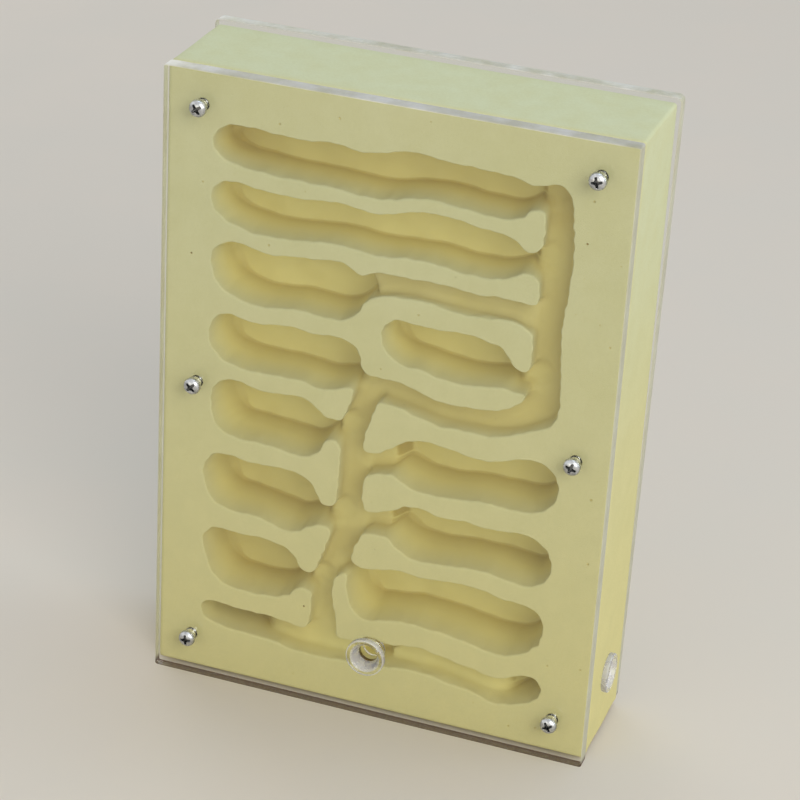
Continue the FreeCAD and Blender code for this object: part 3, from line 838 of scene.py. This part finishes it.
def block_shell(corners, front, back, radius):
    """The block's outer sides, and the line where their flat bands on the face and the back
    end. A quarter round leads from each band to the sides, which have slow, shallow dents."""
    band, counts, steps, rows, dents, set_in = 0.5, (98, 70), 5, 14, 0.07, 0.09

    def ring(inset, corner):
        return box_ring(*corners, inset, corner, counts)

    support, side = ring(radius + band, 0), ring(0, radius)
    out, along = right_normals(side), walked(side)
    edge = [(ring(radius * (1 - math.sin(angle)), radius * math.sin(angle)),
             radius * (1 - math.cos(angle))) for angle in np.radians(np.linspace(0, 90, steps))]
    shell = [(support, front)] + [(line, front + down) for line, down in edge]
    for y in np.linspace(front + radius, back - radius, rows)[1:-1]:
        dent = dents * ripple(np.column_stack([along, np.full(len(along), y)]), 23, 8) - set_in
        shell.append((side + out * dent[:, None], y))
    shell += [(line, back - down) for line, down in edge[::-1]] + [(support, back)]
    return strip(*zip(*shell)), support


def pinhole_spots(count, land, taken, low, high):
    """Random places for burst bubbles, on ground well clear of hollows, holes and marks: one
    at most in each square of a net, near its middle, so that no two meet."""
    net, margin, gap = 10.0, 4, 1.6
    draw = np.random.default_rng(11)
    x, z = np.meshgrid(np.arange(low[0] + net / 2, high[0] - margin, net),
                       np.arange(low[1] + net / 2, high[1] - margin, net))
    spots = np.column_stack([x.ravel(), z.ravel()])
    spots = draw.permutation(spots + draw.uniform(-0.4 * net, 0.4 * net, spots.shape))
    spots = spots[inside(spots, land)]
    spots = spots[nearest(spots, taken) > gap][:count]
    return spots, 0.13 + 0.35 * draw.uniform(0, 1, len(spots)) ** 3


class NEST_OT_block(bpy.types.Operator):
    """Cast the plaster block with its chambers, tunnels and holes"""
    bl_idname = "nest.block"
    bl_label = "Plaster block"

    def execute(self, context):
        plaster = context.scene.nest_plaster
        low, high = span("nest_block")
        points, triangles = frame_mesh("nest_block")
        loops = face_loops(points, triangles, low[1])[1:]
        holes = [loop for loop in loops if np.ptp(loop, axis=0).max() < WIDEST_HOLE]
        hollows = loops[:len(loops) - len(holes)]
        if len(holes) != len(CROSS_TURNS) or not hollows:
            raise RuntimeError("The frame's block doesn't have six screw holes and a hollow")
        set_back, unevenness, chamfer, crowding = 0.05, 0.3, 0.25, 1.2
        pitch, worn_width, crisp_width = 0.85, 1.8, 0.6
        front, back = low[1] + set_back, high[1]
        port = middle("front_bushing")[[0, 2]]
        read_depth = depth_map(points, triangles, low[1], port)

        def depth_at(spots):
            return read_depth(spots) + unevenness * ripple(spots, 11, 3) - unevenness

        rims = []
        for loop in hollows:
            worn, crisp = even(loop, pitch, worn_width), even(loop, pitch, crisp_width)
            drilled = near_port(nearest(crisp, port[None]))[:, None]
            rims.append(worn + (crisp - worn) * drilled)
        screw_rings = round_holes(holes, 40)
        walls, borders, feet, foot_levels = hollow_walls(
            rims, np.vstack(screw_rings), depth_at, front, plaster)
        surfaces = walls + [hollow_floor(feet, foot_levels, depth_at, front)]

        corners = low[[0, 2]], high[[0, 2]]
        shell, support = block_shell(corners, front, back, plaster.edge_radius / MM)
        surfaces.append(shell)
        wide = [shifted(hole, -chamfer) for hole in screw_rings]
        for narrow, mouth in zip(screw_rings, wide):
            surfaces.append(strip([mouth, narrow, narrow, mouth],
                                  [front, front + chamfer, back - chamfer, back]))
        land = [support] + borders + wide
        marks = MARKS[nearest(MARKS, np.vstack(land)) > crowding]
        pits, sizes = pinhole_spots(plaster.pinholes, land, np.vstack(land + [marks]), *corners)
        pit_rings = []
        for spot, size, dark in ([(s, r, 0.25) for s, r in zip(pits, sizes)]
                                 + [(s, 0.38, 1.0) for s in marks]):
            bowl = [circle(spot, size * share, PIT_SIDES) for share in (1, 0.75, 0.4, 0)]
            pit_rings.append(bowl[0])
            surfaces.append(strip(bowl, front + size * np.array([0, 0.45, 0.7, 0.75]),
                                  dirt_and_shade_marks(np.repeat([0, dark, dark, dark], PIT_SIDES))))
        surfaces.append(fill(land + pit_rings, [front] * len(land + pit_rings)))
        surfaces.append(fill([support] + wide, [back] * (1 + len(wide))))
        block = put_mesh("plaster_block", surfaces, [cast_plaster(plaster)])
        bore_side_ports(block)
        settle(block, "block", "plaster", "nest_block")
        return {"FINISHED"}


def bore_side_ports(block):
    """Cuts each side port: a seat as wide as the bushing's body and a passage on to the
    gallery's end, one turned solid for each side. Lengths are from the nest's middle."""
    outside, seat_end, seat_radius, passage_radius = 80, 67.6, 5.05, 3.5
    for node, side, end in (("right_bushing", 1, 53.4), ("left_bushing", -1, 49.75)):
        profile = np.array([(0, outside), (seat_radius, outside), (seat_radius, seat_end),
                            (passage_radius, seat_end), (passage_radius, end), (0, end)])
        tool = put_mesh("drill", [turned(profile, 48, (0, *middle(node)[1:]), (side, 0, 0))],
                        [])
        cut = block.modifiers.new("port", "BOOLEAN")
        cut.operation, cut.solver, cut.object = "DIFFERENCE", "EXACT", tool
        shown = block.evaluated_get(bpy.context.evaluated_depsgraph_get())
        mesh = bpy.data.meshes.new_from_object(shown)
        block.modifiers.remove(cut)
        old, block.data = block.data, mesh
        bpy.data.meshes.remove(old)
        bpy.data.meshes.remove(tool.data)
    block.data.name = "plaster_block"
    block.data.set_sharp_from_angle(angle=math.radians(35))


# --- The clear sheets ---

def cut_sheet(name, node, bevel, materials):
    """A flat sheet with the frame's outline and holes: both faces, and an edge whose corners
    are scraped to a quarter round. The faces are shaded flat right up to the edge, so that
    nothing seen through them bends."""
    low, high = span(node)
    loops = face_loops(*frame_mesh(node), low[1])
    loops[1:] = round_holes(loops[1:], 64)
    bend = np.radians([0, 30, 60, 90])
    surfaces = []
    for number, loop in enumerate(loops):
        size = bevel if number == 0 else 0.5 * bevel
        inset = [size * (1 - math.sin(angle)) for angle in bend]
        sink = [size * (1 - math.cos(angle)) for angle in bend]
        rows = [shifted(loop, -d) for d in inset + inset[::-1]]
        levels = [low[1] + s for s in sink] + [high[1] - s for s in sink[::-1]]
        spots, faces = strip(rows, levels)[:2]
        on_top = spots[faces][:, :, 2].min(1) > high[2] - 2 * bevel
        surfaces.append((spots, faces, 1 + on_top if number == 0 else 0, CLEAN))
        loops[number] = rows[0]
    surfaces += [fill(loops, [level] * len(loops)) for level in (low[1], high[1])]
    piece = put_mesh(name, surfaces, materials, 25)
    faces = piece.data.polygons
    normals = np.empty(3 * len(faces))
    faces.foreach_get("normal", normals)
    faces.foreach_set("use_smooth", np.abs(normals[1::3]) < 0.999)
    return piece


class NEST_OT_sheets(bpy.types.Operator):
    """Cut the clear front cover and the clear back plate"""
    bl_idname = "nest.sheets"
    bl_label = "Clear sheets"

    def execute(self, context):
        sheets = context.scene.nest_sheets
        materials = [clear_acrylic(sheets),
                     # The sawn edge's yellow is painted plaster light seen through it.
                     sawn_acrylic("sawn_acrylic_edge", sheets.edge_colour, 0.25),
                     sawn_acrylic("scraped_acrylic_edge", sheets.top_edge_colour, 0.45)]
        for name, node, body in (("cover_sheet", "front_cover", "cover"),
                                 ("back_sheet", "back_plate", "back")):
            piece = cut_sheet(name, node, sheets.edge_bevel / MM, materials)
            settle(piece, body, "clear_acrylic", node)
        return {"FINISHED"}


# --- The tube ports ---

# Corners of a bushing's half section: radius, way out from its seat, and how far the corner
# is cut. Tail, flange, rim, funnel and bore, each corner in six points.
BUSHING = [(3.3, -7.0, 0.05), (5.0, -7.0, 0.5), (5.0, 0.0, 0.1), (6.6, 0.0, 0.2),
           (6.6, 1.8, 0.5), (5.1, 1.8, 0.35), (3.3, -1.2, 0.6), (3.3, -2.4, 0.1)]
FLANGE = 1.8                   # how far the flange stands out from its seat
RUBBED = ((22, 29), (33, 43))  # rows of points on the flange's edge, and down the funnel
GATE, GATE_RADIUS = np.array([4.15, 0, 4.2]), 1.0  # the mould's gate mark, from the seat


def port_bushing(name, seat, axis, nub, materials):
    """A bushing turned about its port: a tail with a bore, a flange with a soft rim, and a
    funnel. Its gate mark is a low round bump on the rim: one raised-cosine hill."""
    points, triangles = turned(rounded(BUSHING, 6), ROUND, seat, axis)[:2]
    row = np.arange(len(triangles) // 2) // ROUND
    rubbed = np.tile(sum((row >= first) & (row < last) for first, last in RUBBED), 2)
    apart = points - seat
    along = apart @ axis
    near = np.linalg.norm(apart - GATE - along[:, None] * axis, axis=1) / GATE_RADIUS
    hill = np.where((near < 1) & (along > 1.2), 0.5 + 0.5 * np.cos(np.pi * near), 0)
    points = points + (nub * hill)[:, None] * axis
    return put_mesh(name, [(points, triangles, rubbed, CLEAN)], materials, 50)


class NEST_OT_ports(bpy.types.Operator):
    """Mould the three tube bushings"""
    bl_idname = "nest.ports"
    bl_label = "Tube ports"

    def execute(self, context):
        ports = context.scene.nest_ports
        materials = [moulded_plastic("polished_soft_plastic", colour("#FBFBFA"), 1.0, 0.02),
                     moulded_plastic("rubbed_soft_plastic", ports.plastic_colour, 0.55, 0.22)]
        for name, node, body, axis in (
                ("front_port", "front_bushing", "cover", (0, -1, 0)),
                ("right_port", "right_bushing", "block", (1, 0, 0)),
                ("left_port", "left_bushing", "block", (-1, 0, 0))):
            axis = np.array(axis, float)
            low, high = span(node)
            out = np.where(axis > 0, high, low)
            seat = np.where(axis == 0, (low + high) / 2, out - FLANGE * axis)
            nub = ports.nub_height / MM if node == "front_bushing" else 0.0
            piece = port_bushing(name, seat, axis, nub, materials)
            settle(piece, body, "clear_soft_plastic", node)
        return {"FINISHED"}


# --- The fixings ---

def round_rows(x, z, radius, y, angle):
    """Rows of points round a line that runs through x and z, along y."""
    return np.stack([x + radius * np.cos(angle), y + 0 * angle, z + radius * np.sin(angle)], -1)


def screw_head(x, seat, z, turn, fixings):
    """A pan head: a flat underside, a short upright side and a crown that is a superellipse
    of the radius, sunk in the middle by a cross whose arms taper in like a driver's bit."""
    side, crown, reach, dimple, flatness, fullness = 0.9, 2.4, 2.8, 0.85, 2.6, 0.55
    steps = np.concatenate([np.linspace(0, 1.7, 24), np.linspace(1.8, 2.72, 12),
                            reach - 0.08 * np.cos(np.linspace(0.4, np.pi / 2, 4))])
    share = np.minimum(steps / reach, 1)
    height = side + (crown - side) * (1 - share ** flatness) ** fullness
    radius, around = np.meshgrid(steps, turns(ROUND), indexing="ij")
    u, v = radius * np.cos(around - turn), radius * np.sin(around - turn)
    half, arm = fixings.cross_width / MM / 2, fixings.cross_span / MM / 2

    def slope(way_in, width):
        share = ramp(way_in, 0, width)
        return share * share * (3 - 2 * share)

    def slot(across, along):
        width = half * (1.15 - 0.35 * np.abs(along) / arm)
        return slope(width - np.abs(across), 0.16) * slope(arm - np.abs(along), 0.5)

    sunk = np.maximum(slot(u, v), slot(v, u))
    sunk = np.maximum(sunk, np.sqrt(np.clip(1 - radius / dimple, 0, 1)))
    rise = height[:, None] - fixings.cross_depth / MM * sunk
    rings = [(reach, side - 0.1), (reach, 0.15), (reach - 0.12, 0.0), (0, 0)]
    rows = np.concatenate([
        round_rows(x, z, radius, seat - rise, around),
        [round_rows(x, z, r, seat - h, turns(ROUND)) for r, h in rings]])
    # The recess's depth becomes its painted shade.
    return grid(rows, dirt_and_shade_marks(np.concatenate([sunk.ravel(), np.zeros(ROUND * len(rings))])))


def screw_shank(x, seat, z, end, fixings):
    """A rolled thread: the radius goes up and down once a pitch as a flattened wave, and the
    wave's place moves one pitch along for each turn. It tapers at the point."""
    pitch, sides, rows_a_pitch = fixings.thread_pitch / MM, 20, 5
    middle_radius, wave_height, point, taper = 1.36, 0.14, 0.5, 0.35
    rows = int((end - seat) / pitch * rows_a_pitch)
    along = np.linspace(0.02, end - seat, rows)[:, None]
    angle = turns(sides)
    wave = np.cos(2 * np.pi * (along / pitch) - angle)
    tip = ramp(end - seat - along, 0, point)
    radius = middle_radius + wave_height * np.clip(1.3 * wave, -1, 1) - taper * (1 - tip)
    radius = np.pad(radius, ((1, 1), (0, 0)))
    along = np.vstack([along[:1], along, along[-1:]])
    return grid(round_rows(x, z, radius, seat + along, angle))


def hexagon_nut(x, y, z):
    """A nut from the washer outward. Its side is a hexagon, apothem over the cosine of the
    angle from each flat's middle, and a 30 degree cone takes off the outer corners."""
    flat, height, bore, cone, chamfer = 2.75, 2.4, 1.5, 2.55, 0.35
    angle = turns(ROUND)
    side = flat / np.cos((angle + np.pi / 6) % (np.pi / 3) - np.pi / 6)
    slope = math.tan(math.radians(30))
    drop = np.maximum(side - cone, 0) * slope
    rings = [(bore, 0), (side - 0.12, 0), (side, 0.1), (side, height - drop - 0.06),
             (side - 0.08, height - drop + 0.05 * slope), (cone, height),
             (bore + chamfer, height), (bore, height - chamfer), (bore, 0)]
    return grid(np.array([round_rows(x, z, r, y + h, angle) for r, h in rings]))


# Corners of a washer's half section: radius, way along, and how far the corner is cut.
WASHER = [(1.6, 0, 0.08), (3.5, 0, 0.12), (3.5, 0.5, 0.16), (1.6, 0.5, 0.1)]


class NEST_OT_fixings(bpy.types.Operator):
    """Make the six screws, washers and nuts"""
    bl_idname = "nest.fixings"
    bl_label = "Screws and nuts"

    def execute(self, context):
        fixings = context.scene.nest_fixings
        plate = zinc_plate(fixings)
        seat = span("front_cover")[0][1]
        for place, turn in CROSS_TURNS.items():
            x, _, z = middle("screw_" + place)
            end = span("screw_" + place)[1][1]
            washer_foot, nut_foot = (span(kind + place)[0][1] for kind in ("washer_", "nut_"))
            screw = [screw_head(x, seat, z, math.radians(turn), fixings),
                     screw_shank(x, seat, z, end, fixings)]
            washer = [turned(rounded(WASHER, 4), 72, (x, washer_foot, z), (0, 1, 0))]
            nut = [hexagon_nut(x, nut_foot, z)]
            for name, kind, body, surfaces, crisp_angle in (
                    ("pan_screw_", "screw_", "screw_", screw, 32),
                    ("flat_washer_", "washer_", "nut_", washer, 35),
                    ("hexagon_nut_", "nut_", "nut_", nut, 20)):
                piece = put_mesh(name + place, surfaces, [plate], crisp_angle)
                settle(piece, body + place, "zinc_plated_steel", kind + place)
        return {"FINISHED"}


# --- The stage ---

class NEST_OT_stage(bpy.types.Operator):
    """Set the floor, the lamps, the room's light and the camera"""
    bl_idname = "nest.stage"
    bl_label = "Stage"

    def execute(self, context):
        stage, scene = context.scene.nest_stage, context.scene
        reach, below, count = 4000.0, 0.1, 9
        xs = np.linspace(-reach, reach, count)
        x, y = np.meshgrid(xs, xs, indexing="ij")
        points = np.stack([x, y, np.full_like(x, -below)], -1).reshape(-1, 3)
        floor = put_mesh("floor", [(points, grid_triangles(count, count, False), 0, CLEAN)],
                         [painted_board(stage)])
        if floor.data.polygons[0].normal.z < 0:
            floor.data.flip_normals()

        for name, size, tone, place in (
                ("key", 1.3, (1.0, 0.98, 0.92), (1.15, -1.40, 1.05)),
                ("low", 0.8, (1.0, 0.93, 0.74), (-0.30, -1.10, 0.10)),
                ("side", 1.0, (0.84, 0.96, 1.0), (1.90, 0.50, 0.75)),
                ("back", 1.3, (1.0, 0.98, 0.95), (-1.40, 1.50, 0.70)),
                ("top", 1.0, (0.62, 0.80, 1.0), (0.20, 0.35, 1.90))):
            lamp = bpy.data.lights.new(name + "_lamp", "AREA")
            lamp.energy, lamp.size, lamp.color = getattr(stage, name + "_power"), size, tone
            holder = bpy.data.objects.new(name + "_lamp", lamp)
            holder.location = place
            way = Vector((0, 0, 0.1)) - Vector(place)
            holder.rotation_euler = way.to_track_quat("-Z", "Y").to_euler()
            scene.collection.objects.link(holder)

        world = bpy.data.worlds.new("room")
        world.use_nodes = True
        tree = world.node_tree
        tree.nodes.clear()
        path = put(tree, "LightPath").outputs
        seen = reckon("MAXIMUM", path["Is Camera Ray"], path["Is Glossy Ray"])
        seen = reckon("MAXIMUM", seen, path["Is Transmission Ray"])
        direct = reckon("LESS_THAN", path["Diffuse Depth"], 0.5)
        seen = reckon("MULTIPLY", seen, direct)
        back = put(tree, "Background", {
            "Color": tint(seen, (0.92, 0.97, 1, 1), (1, 1, 1, 1)),
            "Strength": between(seen, 0, 1, stage.sky_level, 1.0)})
        put(tree, "OutputWorld", {"Surface": back.outputs[0]})
        scene.world = world

        camera = bpy.data.objects.new("camera", bpy.data.cameras.new("camera"))
        camera.data.lens, camera.data.sensor_width = stage.lens, 36.0
        camera.data.clip_start, camera.data.clip_end = 0.05, 20.0
        scene.collection.objects.link(camera)
        camera.matrix_world = (
            Matrix.Translation(Vector((4.813, -18.8, 115.142)) * MM)
            @ Matrix.Rotation(stage.azimuth, 4, "Z")
            @ Matrix.Rotation(math.pi / 2 - stage.elevation, 4, "X")
            @ Matrix.Rotation(stage.roll, 4, "Z")
            @ Matrix.Translation((0, 0, stage.distance)))
        scene.camera = camera
        scene.view_settings.view_transform = "Standard"
        return {"FINISHED"}


class NEST_PT_panel(bpy.types.Panel):
    """Lists the nest's pieces and their settings"""
    bl_label = "Ant nest"
    bl_idname = "NEST_PT_panel"
    bl_space_type = "VIEW_3D"
    bl_region_type = "UI"
    bl_category = "Ant nest"

    def draw(self, context):
        for operator, group in zip(OPERATORS, SETTINGS):
            box = self.layout.box()
            box.operator(operator.bl_idname)
            settings = getattr(context.scene, "nest_" + group)
            for name in settings.__annotations__:
                box.prop(settings, name)


OPERATORS = (NEST_OT_block, NEST_OT_sheets, NEST_OT_ports, NEST_OT_fixings, NEST_OT_stage)
CLASSES = (*SETTINGS.values(), *OPERATORS, NEST_PT_panel)


def register():
    for kind in CLASSES:
        bpy.utils.register_class(kind)
    for name, kind in SETTINGS.items():
        setattr(bpy.types.Scene, "nest_" + name, PointerProperty(type=kind))


def unregister():
    for name in SETTINGS:
        delattr(bpy.types.Scene, "nest_" + name)
    for kind in reversed(CLASSES):
        bpy.utils.unregister_class(kind)


def main():
    register()
    bpy.ops.nest.stage()
    bpy.ops.nest.block()
    bpy.ops.nest.sheets()
    bpy.ops.nest.ports()
    bpy.ops.nest.fixings()


if __name__ == "__main__":
    main()
